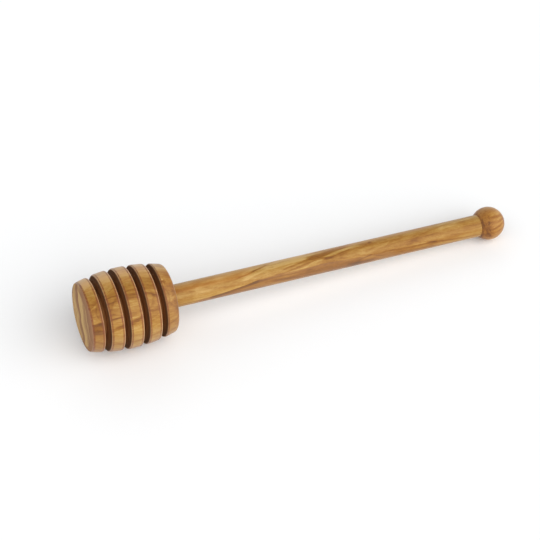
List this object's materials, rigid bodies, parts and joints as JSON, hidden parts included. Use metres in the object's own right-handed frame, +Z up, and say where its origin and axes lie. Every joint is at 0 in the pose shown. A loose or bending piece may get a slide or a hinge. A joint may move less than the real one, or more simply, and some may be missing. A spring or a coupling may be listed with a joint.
{
  "type": "honey dipper",
  "caption": "Wooden honey dipper lying on its side: turned barrel head with ring grooves, straight round handle and ball knob.",
  "frame": {"origin": "on the surface the dipper lies on, below the middle of its overall length and width", "axes": "+X along the dipper from the head to the knob, +Z up; the dipper lies on the middle of its head and on its knob"},
  "size_m": [0.173, 0.03, 0.0301],
  "materials": {
    "head_wood": "oiled olive wood, satin, darker in the grooves",
    "handle_wood": "oiled olive wood, satin, straight grain with dark veins",
    "knob_wood": "oiled olive wood, satin, close dark grain"
  },
  "bodies": {
    "root": {"head": "head_wood", "handle": "handle_wood", "knob": "knob_wood"}
  },
  "joints": []
}
